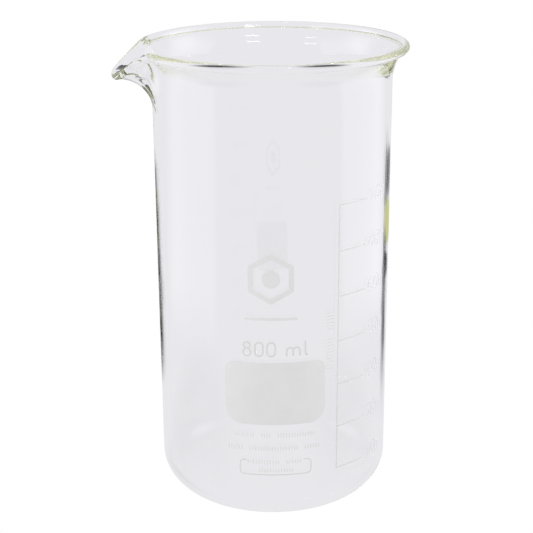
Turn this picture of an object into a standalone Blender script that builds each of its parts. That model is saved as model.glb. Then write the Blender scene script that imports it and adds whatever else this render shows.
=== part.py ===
"""Tall-form laboratory beaker of 800 ml, with a pouring spout and enamel marks.

The glass body stands on the plane z = 0 with its axis on +Z. The spout points
along -X. The enamel marks are on the side that faces -Y, a little turned
toward the spout. Sizes are in millimetres until MM brings them to metres.
"""
import math

import bmesh
import bpy
from mathutils import Vector

MM = 0.001

# --- driving dimensions of the glass body -----------------------------------
BODY_DIAMETER = 90.0
BODY_HEIGHT = 177.8
WALL = 2.3
HEEL_RADIUS = 13.0          # outside radius between the wall and the base
FLARE_RADIUS = 15.7         # the wall turns outward below the rim on this radius
FLARE_ANGLE = 50.7          # degrees from upright at the rim
RIM_THICKNESS = 2.9         # the fire-polished rim is thicker than the wall
SPOUT_ROOT = 153.3          # height where the spout leaves the straight wall
SPOUT_RADIUS = 13.9         # the spout's floor turns outward on this radius
SPOUT_ANGLE = 91.0          # degrees from upright at the spout's lip
SPOUT_LIP = 0.3             # straight end of the spout's floor
SPOUT_HALF_WIDTH = 13.9     # degrees round the axis
SPOUT_SHARPNESS = 3.4       # how squarely the spout's sides turn up

# --- resolution of the glass body -------------------------------------------
AROUND = 96
HEEL_STEPS = 6
SPOUT_STEPS = 10
RIM_STEPS = 6
THICKENING_STEPS = 4        # the last steps of the wall, which swell into the rim
CROWDING = 0.4              # facets are narrower toward the spout by this share

# --- enamel marks -------------------------------------------------------------
ENAMEL_THICKNESS = 0.15
ENAMEL_GAP = 0.3
MARKS_TURN = -6.7           # degrees from -Y to the middle of the marks
ARC_STEP = 3.0              # a wide mark bends in steps of this length

SCALE_VOLUMES = (100, 200, 300, 400, 500, 600, 700)     # millilitres
SCALE_X = 24.5              # of the upright line, along the wall
SCALE_LINE = 0.5
TICK_LENGTH = 13.0
NUMERAL_GAP = 2.6           # between a tick's end and its numeral
NUMERAL_HEIGHT = 4.5
NUMERAL_WIDTH = 2.6
NUMERAL_PITCH = 4.1
NUMERAL_LINE = 0.5

CAPACITY_BASE = 69.9        # height of the capacity figure's base line
CAPACITY_HEIGHT = 5.5
CAPACITY_WIDTH = 3.0
CAPACITY_LINE = 0.65
CAPACITY_DIGITS = (("8", -10.5), ("0", -6.0), ("0", -1.5))
CAPACITY_M = (4.2, 4.9, 3.4)        # left edge, width and height of the letter m
CAPACITY_L = (11.2, 1.0, 5.7)       # stem, foot and height of the letter l

PATCH_WIDTH = 38.3
PATCH_BOTTOM, PATCH_TOP = 42.2, 67.3
PATCH_TOP_RADIUS, PATCH_BOTTOM_RADIUS = 3.5, 6.0

FRAME_WIDTH, FRAME_BOTTOM, FRAME_TOP = 27.2, 21.4, 27.4
FRAME_RETURN = 2.8          # how far the frame's top ends turn inward
FRAME_RADIUS = 1.6
FRAME_LINE = 0.45

EMBLEM_X, EMBLEM_Z = -1.5, 99.8
EMBLEM_RADIUS, EMBLEM_LINE, EMBLEM_DOT = 8.6, 1.9, 3.4
DOT_COLUMNS = 12
RULE_LEFT, RULE_RIGHT, RULE_Z, RULE_LINE = -11.4, 8.2, 84.5, 1.0

BODY_RADIUS = BODY_DIAMETER / 2
BORE_RADIUS = BODY_RADIUS - WALL


def clear_scene():
    for obj in list(bpy.data.objects):
        bpy.data.objects.remove(obj, do_unlink=True)


def new_collection(name):
    collection = bpy.data.collections.new(name)
    bpy.context.scene.collection.children.link(collection)
    return collection


def new_material(name, colour, roughness, transmission=0.0, ior=1.5):
    material = bpy.data.materials.new(name)
    material.use_nodes = True
    shader = material.node_tree.nodes["Principled BSDF"]
    shader.inputs["Base Color"].default_value = (*colour, 1.0)
    shader.inputs["Roughness"].default_value = roughness
    shader.inputs["Metallic"].default_value = 0.0
    shader.inputs["Transmission Weight"].default_value = transmission
    shader.inputs["IOR"].default_value = ior
    return material


def new_object(name, vertices, edges, faces, collection):
    mesh = bpy.data.meshes.new(name)
    mesh.from_pydata(vertices, edges, faces)
    obj = bpy.data.objects.new(name, mesh)
    collection.objects.link(obj)
    return obj


def apply_modifiers(obj):
    """Replaces the object's mesh with what its modifiers make of it."""
    graph = bpy.context.evaluated_depsgraph_get()
    made = bpy.data.meshes.new_from_object(obj.evaluated_get(graph))
    old = obj.data
    obj.modifiers.clear()
    obj.data = made
    bpy.data.meshes.remove(old)


# --- the glass body -----------------------------------------------------------
def arc(centre, radii, start, end, steps):
    """Points on an ellipse's arc, with the angles in degrees."""
    points = []
    for i in range(steps + 1):
        angle = math.radians(start + (end - start) * i / steps)
        points.append(Vector((centre[0] + radii[0] * math.cos(angle),
                              centre[1] + radii[1] * math.sin(angle))))
    return points


def lower_line():
    """The middle of the glass from the axis along the base to the top of the heel."""
    heel = HEEL_RADIUS - WALL / 2
    centre = (BODY_RADIUS - HEEL_RADIUS, HEEL_RADIUS)
    return [Vector((0.0, WALL / 2))] + arc(centre, (heel, heel), -90.0, 0.0, HEEL_STEPS)


def bent_line(start, straight, radius, angle, lip):
    """A line that rises, turns outward on a radius and ends straight."""
    bend = radius * math.radians(angle)
    points = []
    for i in range(SPOUT_STEPS + 1):
        done = (straight + bend + lip) * i / SPOUT_STEPS
        rise = min(done, straight)
        turn = min(max(done - straight, 0.0) / radius, math.radians(angle))
        on = max(done - straight - bend, 0.0)
        points.append(Vector((
            start.x + radius * (1 - math.cos(turn)) + on * math.sin(turn),
            start.y + rise + radius * math.sin(turn) + on * math.cos(turn))))
    return points


def glass_section(upper_line):
    """The half section: out of the axis inside, over the rim, and back outside."""
    line = lower_line() + upper_line
    last = len(line) - 1
    inside, outside = [], []
    for i, point in enumerate(line):
        along = (line[min(i + 1, last)] - line[max(i - 1, 0)]).normalized()
        if i < 2:
            along = Vector((1.0, 0.0))      # the base is flat out to the heel
        out = Vector((along.y, -along.x))
        swell = max(0.0, 1 - (last - i) / THICKENING_STEPS) ** 1.5
        half = (WALL + (RIM_THICKNESS - WALL) * swell) / 2
        inside.append(point - out * half)
        outside.append(point + out * half)

    top_middle, top_half = line[last], outside[-1] - line[last]
    top_along = along * top_half.length
    rim = []
    for i in range(1, RIM_STEPS):
        angle = math.pi * i / RIM_STEPS
        rim.append(top_middle - top_half * math.cos(angle) + top_along * math.sin(angle))
    return inside + rim + outside[::-1]


def spout_weight(angle):
    """How much of the spout's shape the glass takes at an angle from the spout."""
    return math.exp(-(abs(math.degrees(angle)) / SPOUT_HALF_WIDTH) ** SPOUT_SHARPNESS)


def glass_body(collection):
    root = Vector((BODY_RADIUS - WALL / 2, SPOUT_ROOT))
    turn = math.radians(FLARE_ANGLE)
    straight = BODY_HEIGHT - RIM_THICKNESS / 2 - FLARE_RADIUS * math.sin(turn) - SPOUT_ROOT
    plain = glass_section(bent_line(root, straight, FLARE_RADIUS, FLARE_ANGLE, 0.0))
    pulled = glass_section(bent_line(root, 0.0, SPOUT_RADIUS, SPOUT_ANGLE, SPOUT_LIP))

    edges = [(i, i + 1) for i in range(len(plain) - 1)]
    obj = new_object("glass_body", [(p.x * MM, 0.0, p.y * MM) for p in plain], edges, [], collection)
    screw = obj.modifiers.new("turn", "SCREW")
    screw.axis = "Z"
    screw.steps = screw.render_steps = AROUND
    screw.use_merge_vertices = True
    screw.merge_threshold = 1e-5
    apply_modifiers(obj)

    for vertex in obj.data.vertices:
        here = Vector((vertex.co.xy.length, vertex.co.z)) / MM
        i = min(range(len(plain)), key=lambda k: (plain[k] - here).length_squared)
        angle = math.atan2(-vertex.co.y, -vertex.co.x)
        angle -= CROWDING * math.sin(angle)
        place = plain[i].lerp(pulled[i], spout_weight(angle)) * MM
        vertex.co = (-place.x * math.cos(angle), -place.x * math.sin(angle), place.y)
    obj.data.shade_smooth()
    obj.data.set_sharp_from_angle(angle=math.radians(40))
    obj.data.materials.append(
        new_material("borosilicate_glass", (0.93, 0.95, 0.94), 0.02, transmission=1.0, ior=1.473))
    return obj


# --- enamel marks: drawn flat, x along the wall and y up, then bent round it ---
def line_plate(name, points, closed, width, collection):
    """A flat plate along a line: an upright strip, thickened to the line's width."""
    count = len(points)
    low = [(p[0] * MM, p[1] * MM, 0.0) for p in points]
    high = [(x, y, ENAMEL_THICKNESS * MM) for x, y, _ in low]
    steps = count if closed else count - 1
    faces = [(i, (i + 1) % count, count + (i + 1) % count, count + i) for i in range(steps)]
    obj = new_object(name, low + high, [], faces, collection)
    thick = obj.modifiers.new("width", "SOLIDIFY")
    thick.thickness = width * MM
    thick.offset = 0.0
    thick.use_even_offset = True
    apply_modifiers(obj)
    return obj


def column_faces(first, columns):
    """Faces between pairs of vertices, each pair a low one and a high one."""
    starts = range(first, first + 2 * columns, 2)
    return [(a, a + 2, a + 3, a + 1) for a in starts]


def face_plate(name, vertices, faces, collection):
    """A flat plate from a sheet of faces in the plane."""
    obj = new_object(name, [(x * MM, y * MM, 0.0) for x, y in vertices], [], faces, collection)
    thick = obj.modifiers.new("thickness", "SOLIDIFY")
    thick.thickness = ENAMEL_THICKNESS * MM
    thick.offset = 1.0
    apply_modifiers(obj)
    return obj


def join_plates(plates):
    """Makes one closed plate of plates that cross."""
    first = plates[0]
    for other in plates[1:]:
        union = first.modifiers.new("union", "BOOLEAN")
        union.operation = "UNION"
        union.object = other
        apply_modifiers(first)
        bpy.data.objects.remove(other, do_unlink=True)
    return first


def bend_round(obj, material):
    """Bends a flat plate round the wall, with its x measured along the glass."""
    radius = BODY_RADIUS * MM
    for vertex in obj.data.vertices:
        x, y, z = vertex.co
        angle = x / radius + math.radians(MARKS_TURN)
        reach = radius + ENAMEL_GAP * MM + z
        vertex.co = (reach * math.sin(angle), -reach * math.cos(angle), y)
    mesh = bmesh.new()
    mesh.from_mesh(obj.data)
    bmesh.ops.remove_doubles(mesh, verts=mesh.verts, dist=1e-7)
    bmesh.ops.recalc_face_normals(mesh, faces=mesh.faces)
    mesh.to_mesh(obj.data)
    mesh.free()
    obj.data.materials.clear()
    obj.data.materials.append(material)
    return obj


def glyph_lines(glyph, w, h):
    """The lines of a numeral in a box w wide and h high: (points, closed) each."""
    middle = w / 2
    if glyph == "0":
        top, bottom = (middle, h - middle), (middle, middle)
        loop = arc(top, (middle, middle), 0, 180, 6) + arc(bottom, (middle, middle), 180, 360, 6)
        return [(loop, True)]
    if glyph == "1":
        return [([(0.15 * w, 0.8 * h), (0.7 * w, h), (0.7 * w, 0)], False)]
    if glyph == "2":
        return [(arc((middle, h - middle), (middle, middle), 165, -35, 7) + [(0, 0), (w, 0)], False)]
    if glyph == "3":
        bowl = arc((middle, 0.3 * h), (middle, 0.3 * h), 80, -160, 9)
        return [([(0.05 * w, h), (0.95 * w, h), (0.45 * w, 0.6 * h)] + bowl[1:], False)]
    if glyph == "4":
        return [([(0.55 * w, h), (0, 0.28 * h), (1.05 * w, 0.28 * h)], False),
                ([(0.75 * w, 0.55 * h), (0.75 * w, 0)], False)]
    if glyph == "5":
        bowl = arc((middle, 0.31 * h), (middle, 0.31 * h), 120, -150, 9)
        return [([(0.9 * w, h), (0.12 * w, h), (0.06 * w, 0.5 * h)] + bowl[1:], False)]
    if glyph == "6":
        bowl = arc((middle, 0.3 * h), (middle, 0.3 * h), 0, 345, 12)
        return [(bowl, True), (arc((w, 0.3 * h), (w, 0.7 * h), 180, 100, 5), False)]
    if glyph == "7":
        return [([(0, h), (w, h), (0.35 * w, 0)], False)]
    lower, upper = 0.27 * h, 0.23 * h
    return [(arc((middle, lower), (middle, lower), 0, 330, 11), True),
            (arc((middle, h - upper), (0.88 * middle, upper), 0, 330, 11), True)]


def draw_glyph(name, lines, x, y, width, collection, material):
    plates = []
    for points, closed in lines:
        moved = [(x + p[0], y + p[1]) for p in points]
        plates.append(line_plate(name, moved, closed, width, collection))
    obj = join_plates(plates)
    obj.name = obj.data.name = name
    return bend_round(obj, material)


def capacity_figure(collection, material):
    for number, (glyph, centre) in enumerate(CAPACITY_DIGITS, start=1):
        lines = glyph_lines(glyph, CAPACITY_WIDTH, CAPACITY_HEIGHT)
        draw_glyph(f"capacity_digit_{number}", lines, centre - CAPACITY_WIDTH / 2, CAPACITY_BASE,
                   CAPACITY_LINE, collection, material)
    left, width, height = CAPACITY_M
    bay = width / 4
    first = arc((bay, height - bay), (bay, bay), 180, 0, 6) + [(2 * bay, 0)]
    second = [(p[0] + 2 * bay, p[1]) for p in first]
    stem = [(0, 0), (0, height - bay)] + first[1:]
    draw_glyph("capacity_letter_m", [(stem, False), (second, False)], left, CAPACITY_BASE,
               CAPACITY_LINE, collection, material)
    left, foot, height = CAPACITY_L
    stem = [(0, height)] + arc((foot, foot), (foot, foot), 180, 270, 4)
    draw_glyph("capacity_letter_l", [(stem, False)], left, CAPACITY_BASE,
               CAPACITY_LINE, collection, material)


def scale_height(volume):
    """The height of the liquid for a volume in millilitres, from the bore."""
    corner = HEEL_RADIUS - WALL
    lost_area = (1 - math.pi / 4) * corner ** 2
    lost_reach = BORE_RADIUS - corner * (10 - 3 * math.pi) / (12 - 3 * math.pi)
    lost = 2 * math.pi * lost_reach * lost_area
    return WALL + (volume * 1000 + lost) / (math.pi * BORE_RADIUS ** 2)


def scale_and_ticks(collection, material):
    """The upright line with its ticks, one connected sheet like a comb."""
    left, right = SCALE_X - SCALE_LINE / 2, SCALE_X + SCALE_LINE / 2
    steps = math.ceil(TICK_LENGTH / ARC_STEP)
    xs = [left, right] + [right + TICK_LENGTH * i / steps for i in range(1, steps + 1)]
    vertices, faces = [], []
    for number, volume in enumerate(SCALE_VOLUMES):
        first = len(vertices)
        for x in xs:
            vertices += [(x, scale_height(volume) - SCALE_LINE / 2),
                         (x, scale_height(volume) + SCALE_LINE / 2)]
        faces += column_faces(first, len(xs) - 1)
        if number:
            below = first - 2 * len(xs)
            faces.append((below + 1, below + 3, first + 2, first))
    return bend_round(face_plate("scale_line", vertices, faces, collection), material)


def scale_numerals(collection, material):
    x = SCALE_X + SCALE_LINE / 2 + TICK_LENGTH + NUMERAL_GAP
    for volume in SCALE_VOLUMES:
        base = scale_height(volume) - NUMERAL_HEIGHT / 2
        for place, glyph in enumerate(str(volume)):
            lines = glyph_lines(glyph, NUMERAL_WIDTH, NUMERAL_HEIGHT)
            draw_glyph(f"numeral_{volume}_{place + 1}", lines, x + place * NUMERAL_PITCH, base,
                       NUMERAL_LINE, collection, material)


def writing_patch(collection, material):
    """A field with rounded corners, as columns of faces that bend with the wall."""
    half = PATCH_WIDTH / 2
    corner = max(PATCH_TOP_RADIUS, PATCH_BOTTOM_RADIUS)
    left = [-half + corner * (1 - math.cos(math.radians(a))) for a in range(0, 91, 15)]
    columns = math.ceil(2 * (half - corner) / ARC_STEP)
    middle = [corner - half + 2 * (half - corner) * i / columns for i in range(1, columns)]
    xs = left + middle + [-x for x in reversed(left)]

    def edge(x, radius):
        inward = max(0.0, abs(x) - (half - radius))
        return radius - math.sqrt(max(0.0, radius ** 2 - inward ** 2))

    vertices = []
    for x in xs:
        vertices += [(x, PATCH_BOTTOM + edge(x, PATCH_BOTTOM_RADIUS)),
                     (x, PATCH_TOP - edge(x, PATCH_TOP_RADIUS))]
    faces = column_faces(0, len(xs) - 1)
    return bend_round(face_plate("writing_patch", vertices, faces, collection), material)


def batch_frame(collection, material):
    """The open frame for a batch number, low on the wall."""
    half, r = FRAME_WIDTH / 2, FRAME_RADIUS
    corner = arc((half - r, FRAME_TOP - r), (r, r), 90, 0, 4)
    right = [(half - FRAME_RETURN, FRAME_TOP)] + corner
    right += arc((half - r, FRAME_BOTTOM + r), (r, r), 0, -90, 4)
    columns = math.ceil((half - r) / ARC_STEP)
    bottom = [((half - r) * (1 - i / columns), FRAME_BOTTOM) for i in range(1, columns)]
    right += bottom
    points = right + [(0.0, FRAME_BOTTOM)] + [(-p[0], p[1]) for p in reversed(right)]
    return bend_round(line_plate("batch_frame", points, False, FRAME_LINE, collection), material)


def emblem(collection, material):
    """A plain hexagon with a dot in it."""
    corners = arc((EMBLEM_X, EMBLEM_Z), (EMBLEM_RADIUS, EMBLEM_RADIUS), 30, 330, 5)
    ring = []
    for i, corner in enumerate(corners):
        after = corners[(i + 1) % len(corners)]
        ring += [corner, corner.lerp(after, 1 / 3), corner.lerp(after, 2 / 3)]
    bend_round(line_plate("emblem_hexagon", ring, True, EMBLEM_LINE, collection), material)

    vertices = []
    for i in range(DOT_COLUMNS + 1):
        angle = math.pi * i / DOT_COLUMNS
        x = EMBLEM_X - EMBLEM_DOT * math.cos(angle)
        rise = EMBLEM_DOT * math.sin(angle)
        vertices += [(x, EMBLEM_Z - rise), (x, EMBLEM_Z + rise)]
    faces = column_faces(0, DOT_COLUMNS)
    bend_round(face_plate("emblem_dot", vertices, faces, collection), material)


def plain_rule(collection, material):
    """A short rule under the emblem."""
    steps = math.ceil((RULE_RIGHT - RULE_LEFT) / ARC_STEP)
    points = [(RULE_LEFT + (RULE_RIGHT - RULE_LEFT) * i / steps, RULE_Z) for i in range(steps + 1)]
    return bend_round(line_plate("plain_rule", points, False, RULE_LINE, collection), material)


def main():
    clear_scene()
    parts = new_collection("beaker")
    glass_body(parts)
    enamel = new_material("white_enamel", (0.80, 0.79, 0.76), 0.55)
    writing_patch(parts, enamel)
    capacity_figure(parts, enamel)
    scale_and_ticks(parts, enamel)
    scale_numerals(parts, enamel)
    batch_frame(parts, enamel)
    emblem(parts, enamel)
    plain_rule(parts, enamel)


main()
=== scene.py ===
"""Looks of the tall-form beaker: clear glass with white enamel marks, in a light tent.

Lengths are in millimetres unless a name or comment says otherwise, and MM brings
them to metres. Azimuths are in degrees round the axis, from -Y toward +X. The spout
points to -X.
"""
import math

import bmesh
import bpy
import numpy as np
from mathutils import Matrix, Vector


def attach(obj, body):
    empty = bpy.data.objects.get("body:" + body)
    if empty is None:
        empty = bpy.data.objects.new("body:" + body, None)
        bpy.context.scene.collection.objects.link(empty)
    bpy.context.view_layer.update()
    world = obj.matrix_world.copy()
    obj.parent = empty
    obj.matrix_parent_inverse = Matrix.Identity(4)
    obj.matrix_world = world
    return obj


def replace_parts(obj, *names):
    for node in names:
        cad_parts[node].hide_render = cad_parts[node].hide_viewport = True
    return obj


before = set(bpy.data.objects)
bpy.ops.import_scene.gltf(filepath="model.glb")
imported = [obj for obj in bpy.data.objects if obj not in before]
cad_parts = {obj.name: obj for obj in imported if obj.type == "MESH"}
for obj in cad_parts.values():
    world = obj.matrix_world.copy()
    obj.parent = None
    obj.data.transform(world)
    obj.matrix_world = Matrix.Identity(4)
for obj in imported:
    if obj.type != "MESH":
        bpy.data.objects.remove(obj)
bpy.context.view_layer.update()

MM = 0.001

# --- the glass body's dimensions: the CAD's, but for the two necks ---------------
BODY_RADIUS = 45.0
BODY_HEIGHT = 177.8
WALL = 2.3
# Just below the bead the turned-out wall is thinner than in the CAD, and the spout's is
# thicker: the thickness there, and the length over which it becomes the wall's
NECK = (1.5, 9.0)
SPOUT_NECK = (2.6, 9.0)
NECK_START = 2.0            # that length starts this far back from the glass's end
BEAD = 2.9                  # thickness of the fire-polished rim
BEAD_FADE = 0.8             # the bead's thickness is gone this many BEADs from its end
HEEL_RADIUS = 13.0
FLARE_RADIUS = 15.7         # the wall turns outward below the rim on this radius
FLARE_ANGLE = 50.7          # degrees from upright at the rim
SPOUT_ROOT = 153.3          # height where the spout leaves the straight wall
SPOUT_RADIUS = 13.9         # the spout's floor turns outward on this radius
SPOUT_ANGLE = 91.0          # degrees from upright at the spout's lip
SPOUT_LIP = 0.3             # straight end of the spout's floor
SPOUT_HALF_WIDTH = 13.9     # degrees round the axis
SPOUT_SHARPNESS = 3.4       # how squarely the spout's sides turn up

# Waves in the glass: scale and depth. The last are only at the spout, and fade in
# between two places along X and two heights
GLASS_WAVES = ((40.0, 0.1), (250.0, 0.15))
WAVES_X = (-40.0, -47.0)
WAVES_Z = (146.0, 154.0)
GLASS_IOR = 1.473
GLASS_TINT = (0.74, 0.76, 0.45, 1)
GLASS_DENSITY = 1.6

# --- resolution of the visible glass ------------------------------------------
AROUND = 320
CROWDING = 0.4              # faces are narrower toward the spout by this share
BASE_STEPS = 10
HEEL_STEPS = 20
WALL_STEPS = 40
SPOUT_STEPS = 44
RIM_STEPS = 18
RIM_CROWDING = 1.7          # steps are closer together toward the rim

# --- enamel marks -------------------------------------------------------------
MARKS_TURN = -6.7           # azimuth of the middle of the marks
CAD_MIDDLE = 0.37           # the CAD's marks lie from 0.3 to 0.45 off the wall
ENAMEL_GAP = 0.012
ENAMEL_THICKNESS = 0.05
WELD = 0.002                # corners of a mark that are closer than this are one
UPRIGHT = 0.01              # an edge that rises more than this stands off the wall
SHARP_CORNER = 0.5          # radians between the faces at a corner to be rounded
CORNER_RADIUS = 0.2
CORNER_STEPS = 4
SLICE = 0.8                 # a mark bends round the wall in steps of this length
# Rows of small upright strokes that stand for fine print: the middle of the row along
# the wall and up it, the number of strokes in each word, and how tall they are
PRINT_ROWS = (
    (-0.6, 37.8, (8, 4, 14), 1.8),
    (-0.7, 32.4, (6, 18, 6), 1.8),
    (-0.5, 26.7, (12, 6), 1.6),
    (0.1, 23.2, (13,), 1.6),
)
CAPTION = (21.2, 74.0, (10, 6), 3.0)    # this row is read upward
PRINT_PITCH, CAPTION_PITCH = 1.05, 1.3
PRINT_STROKE = 0.4          # width of a stroke
WORD_GAP = 2                # strokes left out between words

SCALE_VOLUMES = range(100, 800, 100)    # millilitres

# The duller and the brighter colour of each enamel
ENAMELS = {
    "white_enamel": ((0.780, 0.776, 0.745, 1), (0.800, 0.797, 0.770, 1)),
    "thin_enamel": ((0.72, 0.715, 0.68, 1), (0.75, 0.745, 0.715, 1)),
    "pale_enamel": ((0.80, 0.80, 0.80, 1), (0.82, 0.82, 0.82, 1)),
}
MOTTLE_SCALE, MOTTLE_DETAIL = 130.0, 3.0
MOTTLE_SPREAD = (0.3, 0.7)              # the noise's values for the two colours
ENAMEL_ROUGHNESS = (0.6, 0.42)          # of the duller and the brighter places
GRAIN_SCALE, GRAIN_DETAIL = 3000.0, 2.0
GRAIN_DEPTH, GRAIN_STRENGTH = 0.01, 0.5
SMOOTH_BELOW = 40.0                     # degrees between faces that shade as one


def smooth(x):
    """Goes from 0 to 1 with x, level at both ends."""
    x = np.clip(x, 0, 1)
    return x * x * (3 - 2 * x)


# --- glass --------------------------------------------------------------------
def lower_line():
    """The middle of the glass along the base, round the heel and up to the spout's root."""
    heel = HEEL_RADIUS - WALL / 2
    flat = BODY_RADIUS - HEEL_RADIUS
    out = np.linspace(0, flat, BASE_STEPS + 1)
    base = np.stack([out, np.full(BASE_STEPS + 1, WALL / 2)], axis=1)
    angles = np.radians(np.linspace(-90, 0, HEEL_STEPS + 1))
    turn = [flat + heel * np.cos(angles), HEEL_RADIUS + heel * np.sin(angles)]
    rise = np.linspace(HEEL_RADIUS, SPOUT_ROOT, WALL_STEPS + 1)
    wall = np.stack([np.full(WALL_STEPS + 1, BODY_RADIUS - WALL / 2), rise], axis=1)
    return np.concatenate([base[:-1], np.stack(turn, axis=1), wall[1:-1]])


def bent_line(straight, radius, angle, lip):
    """From the spout's root: a rise, a turn outward on a radius, and a straight end.

    Gives the points, and how far each is from the line's end.
    """
    angle = math.radians(angle)
    whole = straight + radius * angle + lip
    done = whole * (1 - np.linspace(1, 0, SPOUT_STEPS + 1) ** RIM_CROWDING)
    rise = np.minimum(done, straight)
    turn = np.clip((done - straight) / radius, 0, angle)
    on = np.maximum(done - straight - radius * angle, 0)
    reach = BODY_RADIUS - WALL / 2 + radius * (1 - np.cos(turn)) + on * np.sin(turn)
    height = SPOUT_ROOT + rise + radius * np.sin(turn) + on * np.cos(turn)
    return np.stack([reach, height], axis=1), whole - done


def glass_section(upper, back, neck, fade):
    """The half section, from the axis up the inside, over the rim and down the outside.

    upper is the middle of the glass above the spout's root, back how far its points are
    from its end, neck the thickness below the bead and fade the length it changes over.
    """
    lower = lower_line()
    back = np.concatenate([np.full(len(lower), BODY_HEIGHT), back])
    line = np.concatenate([lower, upper])
    along = np.gradient(line, axis=0)
    along[-1] = line[-1] - line[-2]
    along[:BASE_STEPS + 1] = (1.0, 0.0)
    along /= np.linalg.norm(along, axis=1)[:, None]
    out = np.stack([along[:, 1], -along[:, 0]], axis=1)
    thickness = neck + (WALL - neck) * smooth((back - NECK_START) / fade)
    thickness += (BEAD - neck) * (1 - smooth(back / (BEAD * BEAD_FADE)))
    half = thickness[:, None] / 2
    turn = np.radians(np.linspace(0, 180, RIM_STEPS + 1))[1:-1, None]
    rim = line[-1] + half[-1] * (along[-1] * np.sin(turn) - out[-1] * np.cos(turn))
    return np.concatenate([line - out * half, rim, (line + out * half)[::-1]])


def glass_mesh(name):
    """The whole glass as one closed mesh: the section swept round, pulled out at the spout."""
    turn = math.radians(FLARE_ANGLE)
    straight = BODY_HEIGHT - BEAD / 2 - FLARE_RADIUS * math.sin(turn) - SPOUT_ROOT
    plain = glass_section(*bent_line(straight, FLARE_RADIUS, FLARE_ANGLE, 0.0), *NECK)
    pulled = glass_section(*bent_line(0.0, SPOUT_RADIUS, SPOUT_ANGLE, SPOUT_LIP), *SPOUT_NECK)
    angles = np.linspace(-math.pi, math.pi, AROUND, endpoint=False)
    angles = angles - CROWDING * np.sin(angles)
    weight = np.exp(-(np.abs(np.degrees(angles)) / SPOUT_HALF_WIDTH) ** SPOUT_SHARPNESS)
    weight = weight[:, None, None]
    section = plain * (1 - weight) + pulled * weight
    reach, height = section[:, 1:-1, 0], section[:, 1:-1, 1]
    angles = angles[:, None]
    rings = np.stack([-reach * np.cos(angles), -reach * np.sin(angles), height], axis=2)
    count = rings.shape[1]
    vertices = [tuple(p) for p in rings.reshape(-1, 3) * MM]
    inner_pole, outer_pole = len(vertices), len(vertices) + 1
    vertices += [(0, 0, plain[0, 1] * MM), (0, 0, plain[-1, 1] * MM)]
    faces = []
    for i in range(AROUND):
        a, b = i * count, ((i + 1) % AROUND) * count
        faces.append((inner_pole, a, b))
        faces += [(a + k, a + k + 1, b + k + 1, b + k) for k in range(count - 1)]
        faces.append((outer_pole, b + count - 1, a + count - 1))
    mesh = bpy.data.meshes.new(name)
    mesh.from_pydata(vertices, [], faces)
    mesh.shade_smooth()
    return mesh


def glass_material():
    """Clear glass with a faint yellow-green tint, and a little wavy."""
    material = bpy.data.materials.new("clear_glass")
    material.use_nodes = True
    tree = material.node_tree
    nodes, links = tree.nodes, tree.links
    shader = nodes["Principled BSDF"]
    shader.inputs["Base Color"].default_value = (1, 1, 1, 1)
    shader.inputs["Roughness"].default_value = 0.0
    shader.inputs["IOR"].default_value = GLASS_IOR
    shader.inputs["Transmission Weight"].default_value = 1.0
    volume = nodes.new("ShaderNodeVolumeAbsorption")
    volume.inputs["Color"].default_value = GLASS_TINT
    volume.inputs["Density"].default_value = GLASS_DENSITY
    links.new(volume.outputs["Volume"], nodes["Material Output"].inputs["Volume"])
    place = nodes.new("ShaderNodeTexCoord").outputs["Object"]
    bumps = None
    for scale, depth in GLASS_WAVES:
        bump = nodes.new("ShaderNodeBump")
        bump.inputs["Distance"].default_value = depth * MM
        links.new(noise(tree, place, scale, 1.0), bump.inputs["Height"])
        if bumps:
            links.new(bumps.outputs[0], bump.inputs["Normal"])
        bumps = bump
    parts = nodes.new("ShaderNodeSeparateXYZ")
    links.new(place, parts.inputs[0])
    outward = faded(tree, parts.outputs[0], WAVES_X[0] * MM, WAVES_X[1] * MM, 0.0, 1.0)
    upward = faded(tree, parts.outputs[2], WAVES_Z[0] * MM, WAVES_Z[1] * MM, 0.0, 1.0)
    links.new(combined(tree, "MULTIPLY", outward, upward), bumps.inputs["Strength"])
    links.new(bumps.outputs[0], shader.inputs["Normal"])
    return material


# --- enamel -------------------------------------------------------------------
def to_flat(point):
    """A point by the wall, in metres: how far along the wall, how high, and how far off it."""
    azimuth = math.atan2(point.x, -point.y) - math.radians(MARKS_TURN)
    return Vector((azimuth * BODY_RADIUS, point.z / MM, point.xy.length / MM - BODY_RADIUS))


def to_wall(point):
    """The reverse of to_flat, with the enamel's gap added."""
    azimuth = point.x / BODY_RADIUS + math.radians(MARKS_TURN)
    reach = (BODY_RADIUS + ENAMEL_GAP + point.z) * MM
    return Vector((reach * math.sin(azimuth), -reach * math.cos(azimuth), point.y * MM))


def is_corner(edge):
    """True for an edge that stands off the wall where the mark's outline turns outward."""
    a, b = (vertex.co for vertex in edge.verts)
    if abs(a.z - b.z) <= UPRIGHT or len(edge.link_faces) != 2:
        return False
    return edge.calc_face_angle_signed(0.0) > SHARP_CORNER


def drawn_mark(node):
    """The node's mark laid flat, and as thin as enamel."""
    mark = bmesh.new()
    mark.from_mesh(node.data)
    for vertex in mark.verts:
        vertex.co = to_flat(vertex.co)
        vertex.co.z = 0.0 if vertex.co.z < CAD_MIDDLE else ENAMEL_THICKNESS
    bmesh.ops.remove_doubles(mark, verts=mark.verts, dist=WELD)
    bmesh.ops.dissolve_limit(mark, angle_limit=math.radians(1), verts=mark.verts,
                             edges=mark.edges)
    return mark


def stroke_mark(x, y, width, height):
    """A small flat bar."""
    mark = bmesh.new()
    bmesh.ops.create_cube(mark, size=1.0)
    for vertex in mark.verts:
        vertex.co.x = x + vertex.co.x * width
        vertex.co.y = y + vertex.co.y * height
        vertex.co.z = (vertex.co.z + 0.5) * ENAMEL_THICKNESS
    return mark


def row_places(words, pitch):
    """Where a row's strokes are, from its middle."""
    places, here = [], 0
    for strokes in words:
        places += [here + i for i in range(strokes)]
        here += strokes + WORD_GAP
    middle = places[-1] / 2
    return [(place - middle) * pitch for place in places]


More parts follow.
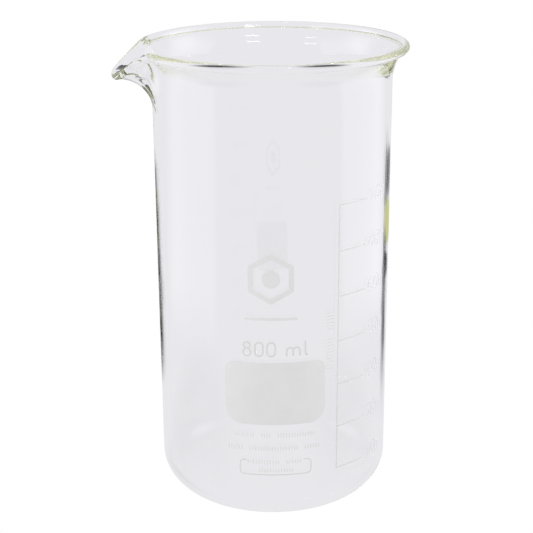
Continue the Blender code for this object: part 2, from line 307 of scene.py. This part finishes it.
def print_marks():
    """The strokes of the fine print and of the scale's caption."""
    marks = []
    for x, y, words, height in PRINT_ROWS:
        for place in row_places(words, PRINT_PITCH):
            marks.append(stroke_mark(x + place, y, PRINT_STROKE, height))
    x, y, words, height = CAPTION
    for place in row_places(words, CAPTION_PITCH):
        marks.append(stroke_mark(x, y + place, height, PRINT_STROKE))
    return marks


def put_on_wall(mark, mesh):
    """Rounds a flat mark's corners, bends it round the wall and adds it to mesh."""
    bmesh.ops.recalc_face_normals(mark, faces=mark.faces)
    corners = [edge for edge in mark.edges if is_corner(edge)]
    bmesh.ops.bevel(mark, geom=corners, offset=CORNER_RADIUS, segments=CORNER_STEPS,
                    profile=0.5, affect="EDGES", clamp_overlap=True)
    left = min(vertex.co.x for vertex in mark.verts)
    right = max(vertex.co.x for vertex in mark.verts)
    for cut in np.arange(left + SLICE, right, SLICE):
        geometry = mark.verts[:] + mark.edges[:] + mark.faces[:]
        bmesh.ops.bisect_plane(mark, geom=geometry, plane_co=(cut, 0, 0),
                               plane_no=(1, 0, 0), dist=1e-4)
    bmesh.ops.triangulate(mark, faces=mark.faces)
    for vertex in mark.verts:
        vertex.co = to_wall(vertex.co)
    bmesh.ops.recalc_face_normals(mark, faces=mark.faces)
    part = bpy.data.meshes.new("mark")
    mark.to_mesh(part)
    mark.free()
    mesh.from_mesh(part)
    bpy.data.meshes.remove(part)


def noise(tree, place, scale, detail):
    """A noise texture's value at a place."""
    node = tree.nodes.new("ShaderNodeTexNoise")
    node.inputs["Scale"].default_value = scale
    node.inputs["Detail"].default_value = detail
    tree.links.new(place, node.inputs["Vector"])
    return node.outputs[0]


def enamel_material(name, dull, bright):
    """Fired enamel: faintly mottled, a little grainy, and glossier in some places."""
    material = bpy.data.materials.new(name)
    material.use_nodes = True
    tree = material.node_tree
    shader = tree.nodes["Principled BSDF"]
    place = tree.nodes.new("ShaderNodeTexCoord").outputs["Object"]
    mottle = noise(tree, place, MOTTLE_SCALE, MOTTLE_DETAIL)
    tint = tree.nodes.new("ShaderNodeMixRGB")
    tree.links.new(faded(tree, mottle, *MOTTLE_SPREAD, 0.0, 1.0), tint.inputs[0])
    tint.inputs[1].default_value = dull
    tint.inputs[2].default_value = bright
    tree.links.new(tint.outputs[0], shader.inputs["Base Color"])
    roughness = faded(tree, mottle, *MOTTLE_SPREAD, *ENAMEL_ROUGHNESS)
    tree.links.new(roughness, shader.inputs["Roughness"])
    grain = tree.nodes.new("ShaderNodeBump")
    grain.inputs["Strength"].default_value = GRAIN_STRENGTH
    grain.inputs["Distance"].default_value = GRAIN_DEPTH * MM
    tree.links.new(noise(tree, place, GRAIN_SCALE, GRAIN_DETAIL), grain.inputs["Height"])
    tree.links.new(grain.outputs[0], shader.inputs["Normal"])
    return material


def enamel_piece(name, marks, material):
    """One visible piece made from flat marks."""
    pieces = bmesh.new()
    for mark in marks:
        put_on_wall(mark, pieces)
    mesh = bpy.data.meshes.new(name)
    for edge in pieces.edges:
        edge.smooth = edge.calc_face_angle(0.0) < math.radians(SMOOTH_BELOW)
    for face in pieces.faces:
        face.smooth = True
    pieces.to_mesh(mesh)
    pieces.free()
    mesh.materials.append(material)
    piece = bpy.data.objects.new(name, mesh)
    bpy.context.scene.collection.objects.link(piece)
    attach(piece, "root")
    return piece


def make_marks():
    """All the enamel: a piece for each group of the CAD's marks, and the fine print."""
    solid, fine, pale = (enamel_material(name, *colours) for name, colours in ENAMELS.items())
    groups = {
        "writing_field": ["writing_patch"],
        "graduation": ["scale_line"],
        "frame_outline": ["batch_frame"],
        "emblem": ["emblem_hexagon", "emblem_dot"],
        "rule": ["plain_rule"],
    }
    all_nodes = sorted(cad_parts)
    groups["capacity"] = [node for node in all_nodes if node.startswith("capacity_")]
    for volume in SCALE_VOLUMES:
        groups[f"figure_{volume}"] = [f"numeral_{volume}_{i}" for i in (1, 2, 3)]
    for name, nodes in groups.items():
        marks = [drawn_mark(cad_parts[node]) for node in nodes]
        is_line = name in ("graduation", "frame_outline", "capacity")
        material = pale if name.startswith("figure_") else fine if is_line else solid
        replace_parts(enamel_piece("enamel_" + name, marks, material), *nodes)
    enamel_piece("enamel_fine_print", print_marks(), solid)


# --- studio ---------------------------------------------------------------------
CAMERA_TURN = -7.36                     # azimuth
CAMERA_PLACE = (-2.5, -483.0, 257.2)    # before that turn
CAMERA_DIP = 19.18                      # degrees below the horizon
CAMERA_ROLL = -0.35
CAMERA_LENS, CAMERA_SENSOR = 87.76, 36.0
CAMERA_CLIP = (10.0, 20000.0)

FLOOR_HALF = 3000.0                     # half the floor's side
FLOOR_DROP = 0.2                        # the floor is this far below the beaker
LIGHT_BOUNCES = 1024                    # light goes a long way round inside the rim

TENT = (0.81, 0.807, 0.84, 1)           # what the glass sees all round
LAMP_DISTANCE = 2000.0
# azimuth, elevation, width and height in degrees, and radiance
LAMPS = (
    (14.0, 41.5, 12.0, 3.0, 10.0),
    (-52.0, 34.5, 12.0, 4.0, 4.0),
)
# Brighter places of the tent: azimuth, elevation and radius in degrees, and the light added
GLOWS = (
    (92.0, 30.0, 28.0, 1.0),
    (-112.0, 26.0, 26.0, 1.0),
)
# The two sides of the tent are brighter than its front and back. Degrees are counted
# both ways round the axis from PANEL_MIDDLE, which is an azimuth from the camera's.
PANEL_LIGHT = 1.1
PANEL_MIDDLE = 6.5
PANEL_START, PANEL_END = (57.0, 64.0), (105.0, 130.0)
PANEL_NEAR = (180.0, 300.0)             # from the axis, on the floor
PANEL_TOP = (30.0, 55.0)                # elevation

# Painted shade on the floor: ellipses of another colour, turned with the camera, which
# the glass shows as dark lines along its edges and dark streaks in its rim; the last but
# one behind is a painted yellow-green glint for the right edge. Columns: x, y, half length,
# half width, degrees from +X to its length, the share that is even, and the colour in the
# middle. Each is laid over the ones before it. They show only in light that has crossed
# one wall or none, and never directly.
WALL_SHADES_AND_GLINT = (                         # behind, for the edges of the wall
    (-134.6, 296.5, 230.0, 50.0, 107.0, 0.8, (0.0, 0.0, 0.0)),
    (224.0, 300.0, 310.0, 32.0, 59.1, 0.6, (0.08, 0.08, 0.09)),
    (155.0, 240.0, 30.0, 50.0, 67.0, 0.4, (0.0, 0.0, 0.0)),
    (224.0, 450.0, 105.0, 85.0, 68.0, 0.5, (0.16, 0.16, 0.17)),
    # A painted yellow-green glint, which the glass shows along its right edge
    (162.0, 335.0, 60.0, 110.0, 70.6, 0.7, (0.57, 0.58, 0.28)),
)
RIM_SHADES = (                          # in front, for the lower edge of the rim
    (116.0, -66.0, 95.0, 95.0, 0.0, 0.2, (0.0, 0.0, 0.0)),
    (-120.0, -54.0, 100.0, 100.0, 0.0, 0.2, (0.0, 0.0, 0.0)),
)
# A light path's depths that part the cases. Crossing a wall goes through two surfaces.
NOT_THROUGH_GLASS = 0.5                 # transmission depth below this
ONE_WALL = 2.5                          # transmission depth below this
RIM_TURNS = 2.5                         # ray depth above this: turned inside the rim


def make_camera():
    data = bpy.data.cameras.new("camera")
    data.lens, data.sensor_width = CAMERA_LENS, CAMERA_SENSOR
    data.clip_start, data.clip_end = (distance * MM for distance in CAMERA_CLIP)
    camera = bpy.data.objects.new("camera", data)
    bpy.context.scene.collection.objects.link(camera)
    place = Matrix.Translation(Vector(CAMERA_PLACE) * MM)
    tilt = Matrix.Rotation(math.radians(90 - CAMERA_DIP), 4, "X")
    roll = Matrix.Rotation(math.radians(CAMERA_ROLL), 4, "Z")
    turn = Matrix.Rotation(math.radians(CAMERA_TURN), 4, "Z")
    camera.matrix_world = turn @ place @ tilt @ roll
    bpy.context.scene.camera = camera


def seen_or_lit(tree, seen, lit, output):
    """Shows one shader to the camera, and the other to the object."""
    path = tree.nodes.new("ShaderNodeLightPath")
    mix = tree.nodes.new("ShaderNodeMixShader")
    tree.links.new(path.outputs["Is Camera Ray"], mix.inputs[0])
    tree.links.new(lit.outputs[0], mix.inputs[1])
    tree.links.new(seen.outputs[0], mix.inputs[2])
    tree.links.new(mix.outputs[0], output.inputs["Surface"])


def faded(tree, value, start, end, first, last):
    """A smooth change from first to last while value goes from start to end."""
    node = tree.nodes.new("ShaderNodeMapRange")
    node.interpolation_type = "SMOOTHSTEP"
    numbers = {"From Min": start, "From Max": end, "To Min": first, "To Max": last}
    for socket, number in numbers.items():
        node.inputs[socket].default_value = number
    tree.links.new(value, node.inputs["Value"])
    return node.outputs[0]


def combined(tree, operation, *values):
    """A Math node's result for sockets or plain numbers."""
    node = tree.nodes.new("ShaderNodeMath")
    node.operation = operation
    for socket, value in zip(node.inputs, values):
        if isinstance(value, (int, float)):
            socket.default_value = value
        else:
            tree.links.new(value, socket)
    return node.outputs[0]


def in_panels(tree, x, y):
    """How far a direction or a place, turned with the camera, is in the tent's bright sides.

    They show in reflections and on the enamel, but not through the glass.
    """
    azimuth = combined(tree, "ARCTAN2", x, combined(tree, "MULTIPLY", y, -1.0))
    azimuth = combined(tree, "SUBTRACT", azimuth, math.radians(PANEL_MIDDLE))
    azimuth = combined(tree, "ABSOLUTE", azimuth)
    start = faded(tree, azimuth, *np.radians(PANEL_START), 0.0, 1.0)
    end = faded(tree, azimuth, *np.radians(PANEL_END), 1.0, 0.0)
    path = tree.nodes.new("ShaderNodeLightPath")
    depth = path.outputs["Transmission Depth"]
    outside = combined(tree, "LESS_THAN", depth, NOT_THROUGH_GLASS)
    return combined(tree, "MULTIPLY", combined(tree, "MULTIPLY", start, end), outside)


def make_world():
    """White where the camera sees it, and the tent's light for the beaker."""
    world = bpy.data.worlds.new("tent")
    bpy.context.scene.world = world
    world.use_nodes = True
    tree = world.node_tree
    lit = tree.nodes["Background"]
    lit.inputs["Color"].default_value = TENT
    seen = tree.nodes.new("ShaderNodeBackground")
    seen.inputs["Color"].default_value = (1, 1, 1, 1)
    direction = tree.nodes.new("ShaderNodeTexCoord").outputs["Generated"]
    turned = tree.nodes.new("ShaderNodeMapping")
    turned.inputs["Rotation"].default_value[2] = -math.radians(CAMERA_TURN)
    tree.links.new(direction, turned.inputs["Vector"])
    parts = tree.nodes.new("ShaderNodeSeparateXYZ")
    tree.links.new(turned.outputs[0], parts.inputs[0])
    height = combined(tree, "ARCSINE", parts.outputs[2])
    low = faded(tree, height, *np.radians(PANEL_TOP), PANEL_LIGHT, 0.0)
    light = combined(tree, "MULTIPLY_ADD", in_panels(tree, *parts.outputs[:2]), low, 1.0)
    for azimuth, elevation, radius, added in GLOWS:
        azimuth, elevation = math.radians(azimuth), math.radians(elevation)
        reach = math.cos(elevation)
        away = tree.nodes.new("ShaderNodeVectorMath")
        away.operation = "DISTANCE"
        tree.links.new(direction, away.inputs[0])
        away.inputs[1].default_value = (
            reach * math.sin(azimuth), -reach * math.cos(azimuth), math.sin(elevation))
        edge = 2 * math.sin(math.radians(radius) / 2)
        glow = faded(tree, away.outputs["Value"], 0.0, edge, added, 0.0)
        light = combined(tree, "ADD", light, glow)
    tree.links.new(light, lit.inputs["Strength"])
    seen_or_lit(tree, seen, lit, tree.nodes["World Output"])


def make_lamps():
    """Far rectangular lamps that face the rim, for its highlights."""
    for i, (azimuth, elevation, width, height, radiance) in enumerate(LAMPS):
        data = bpy.data.lights.new(f"lamp_{i}", "AREA")
        data.shape = "RECTANGLE"
        data.size = 2 * LAMP_DISTANCE * MM * math.tan(math.radians(width / 2))
        data.size_y = 2 * LAMP_DISTANCE * MM * math.tan(math.radians(height / 2))
        data.energy = radiance * math.pi * data.size * data.size_y
        lamp = bpy.data.objects.new(f"lamp_{i}", data)
        bpy.context.scene.collection.objects.link(lamp)
        turn = Matrix.Rotation(math.radians(azimuth), 4, "Z")
        turn @= Matrix.Rotation(math.radians(-elevation), 4, "X")
        place = turn @ Vector((0, -LAMP_DISTANCE, 0)) + Vector((0, 0, BODY_HEIGHT))
        facing = turn @ Matrix.Rotation(math.radians(90), 4, "X")
        lamp.matrix_world = Matrix.Translation(place * MM) @ facing
        lamp.visible_camera = False


def shaded(tree, place, colour, shade, strength):
    """The floor's colour with one ellipse of painted shade, or the painted glint, laid over it.
    """
    x, y, length, width, turn, even, middle = shade
    ellipse = tree.nodes.new("ShaderNodeMapping")
    ellipse.vector_type = "TEXTURE"
    ellipse.inputs["Location"].default_value = (x * MM, y * MM, 0)
    ellipse.inputs["Rotation"].default_value = (0, 0, math.radians(turn))
    ellipse.inputs["Scale"].default_value = (length * MM, width * MM, 1)
    tree.links.new(place, ellipse.inputs["Vector"])
    away = tree.nodes.new("ShaderNodeVectorMath")
    away.operation = "LENGTH"
    tree.links.new(ellipse.outputs[0], away.inputs[0])
    amount = faded(tree, away.outputs["Value"], even, 1.0, 1.0, 0.0)
    amount = combined(tree, "MULTIPLY", amount, strength)
    mix = tree.nodes.new("ShaderNodeMixRGB")
    tree.links.new(amount, mix.inputs[0])
    tree.links.new(colour, mix.inputs[1])
    mix.inputs[2].default_value = (*middle, 1)
    return mix.outputs[0]


def make_floor():
    """Plain white where the camera sees it. The beaker gets the panels' light and the shades."""
    mesh = bpy.data.meshes.new("floor")
    half = FLOOR_HALF * MM
    corners = [(-half, -half, 0), (half, -half, 0), (half, half, 0), (-half, half, 0)]
    mesh.from_pydata(corners, [], [(0, 1, 2, 3)])
    floor = bpy.data.objects.new("floor", mesh)
    bpy.context.scene.collection.objects.link(floor)
    floor.location.z = -FLOOR_DROP * MM
    floor.rotation_euler.z = math.radians(CAMERA_TURN)
    material = bpy.data.materials.new("pale_floor")
    material.use_nodes = True
    tree = material.node_tree
    tree.nodes.remove(tree.nodes["Principled BSDF"])
    seen = tree.nodes.new("ShaderNodeEmission")
    lit = tree.nodes.new("ShaderNodeEmission")
    place = tree.nodes.new("ShaderNodeTexCoord").outputs["Object"]
    parts = tree.nodes.new("ShaderNodeSeparateXYZ")
    tree.links.new(place, parts.inputs[0])
    reach = tree.nodes.new("ShaderNodeVectorMath")
    reach.operation = "LENGTH"
    tree.links.new(place, reach.inputs[0])
    near, far = PANEL_NEAR
    beyond = faded(tree, reach.outputs["Value"], near * MM, far * MM, 0.0, PANEL_LIGHT)
    panels = combined(tree, "MULTIPLY_ADD", in_panels(tree, *parts.outputs[:2]), beyond, 1.0)
    tree.links.new(panels, lit.inputs["Strength"])

    plain = tree.nodes.new("ShaderNodeRGB").outputs[0]
    plain.default_value = TENT
    path = tree.nodes.new("ShaderNodeLightPath")
    one_wall = combined(tree, "LESS_THAN", path.outputs["Transmission Depth"], ONE_WALL)
    turned = combined(tree, "GREATER_THAN", path.outputs["Ray Depth"], RIM_TURNS)
    by_rim = combined(tree, "MULTIPLY", one_wall, turned)
    # Painted shade, and one painted yellow-green glint, laid over the light the beaker gets from
    # the floor
    colour = plain
    for shade in WALL_SHADES_AND_GLINT:
        colour = shaded(tree, place, colour, shade, one_wall)
    for shade in RIM_SHADES:
        colour = shaded(tree, place, colour, shade, by_rim)
    tree.links.new(colour, lit.inputs["Color"])
    seen_or_lit(tree, seen, lit, tree.nodes["Material Output"])
    mesh.materials.append(material)
    material.cycles.emission_sampling = "NONE"


def main():
    glass = bpy.data.objects.new("beaker_glass", glass_mesh("beaker_glass"))
    bpy.context.scene.collection.objects.link(glass)
    glass.data.materials.append(glass_material())
    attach(glass, "root")
    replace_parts(glass, "glass_body")
    make_marks()
    make_camera()
    make_world()
    make_lamps()
    make_floor()
    scene = bpy.context.scene
    scene.view_settings.view_transform = "Standard"
    scene.cycles.max_bounces = LIGHT_BOUNCES
    scene.cycles.transmission_bounces = LIGHT_BOUNCES
    scene.cycles.glossy_bounces = LIGHT_BOUNCES


main()
